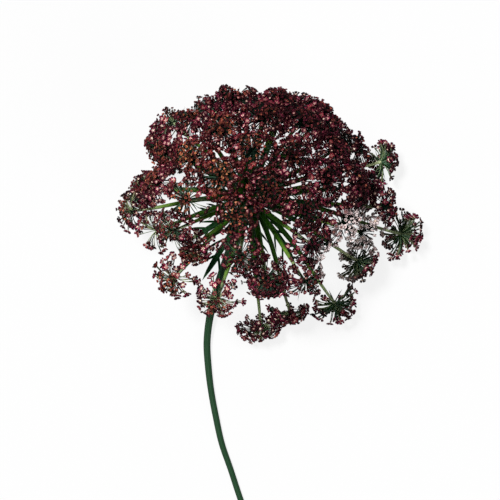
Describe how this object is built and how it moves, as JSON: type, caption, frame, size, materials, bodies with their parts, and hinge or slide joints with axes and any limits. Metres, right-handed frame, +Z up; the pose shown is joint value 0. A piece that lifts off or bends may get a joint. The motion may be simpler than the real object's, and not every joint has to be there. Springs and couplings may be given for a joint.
{
  "type": "queen annes lace flower",
  "caption": "Cut Queen Anne's lace in its dark wine-red form: a domed compound umbel of fine florets on green rays, with cut bracts and a bare curved stem, lying face up.",
  "frame": {"origin": "middle of the flower's box, on the surface that it lies on", "axes": "+Z up from the surface, out of the face of the flower; +Y from the cut end of the stem to the head; +X to the right, seen from above with the head at the top"},
  "size_m": [0.1242, 0.1981, 0.0854],
  "materials": {
    "stem_green": "smooth, faintly ribbed blue-green stalk with a soft sheen",
    "bract_green": "thin, dull dark green leaf",
    "petal_wine": "soft, velvety dark wine-red petals with paler pink edges",
    "ray_green": "fine yellow-green stalks, darker in the middle of the head",
    "floret_centre": "pale pinkish-cream middles of the florets"
  },
  "bodies": {
    "root": {"stem": "stem_green", "bract_01": "bract_green", "bract_02": "bract_green", "bract_03": "bract_green", "bract_04": "bract_green", "bract_05": "bract_green", "bract_06": "bract_green", "bract_07": "bract_green", "bract_08": "bract_green", "umbellet_01": "petal_wine", "umbellet_02": "petal_wine", "umbellet_03": "petal_wine", "umbellet_04": "petal_wine", "umbellet_05": "petal_wine", "umbellet_06": "petal_wine", "umbellet_07": "petal_wine", "umbellet_08": "petal_wine", "umbellet_09": "petal_wine", "umbellet_10": "petal_wine", "umbellet_11": "petal_wine", "umbellet_12": "petal_wine", "umbellet_13": "petal_wine", "umbellet_14": "petal_wine", "umbellet_15": "petal_wine", "umbellet_16": "petal_wine", "umbellet_17": "petal_wine", "umbellet_18": "petal_wine", "umbellet_19": "petal_wine", "umbellet_20": "petal_wine", "umbellet_21": "petal_wine", "umbellet_22": "petal_wine", "umbellet_23": "petal_wine", "umbellet_24": "petal_wine", "umbellet_25": "petal_wine", "umbellet_26": "petal_wine", "umbellet_27": "petal_wine", "umbellet_28": "petal_wine", "umbellet_29": "petal_wine", "umbellet_30": "petal_wine", "umbellet_31": "petal_wine", "umbellet_32": "petal_wine", "umbellet_33": "petal_wine", "umbellet_34": "petal_wine", "umbellet_35": "petal_wine", "umbellet_36": "petal_wine", "umbellet_37": "petal_wine", "umbellet_38": "petal_wine", "umbellet_39": "petal_wine", "umbellet_40": "petal_wine", "umbellet_41": "petal_wine", "umbellet_42": "petal_wine", "umbellet_43": "petal_wine", "umbellet_44": "petal_wine", "umbellet_45": "petal_wine", "umbellet_46": "petal_wine", "umbellet_47": "petal_wine", "umbellet_48": "petal_wine", "umbellet_49": "petal_wine", "umbellet_50": "petal_wine", "umbellet_51": "petal_wine"}
  },
  "joints": []
}
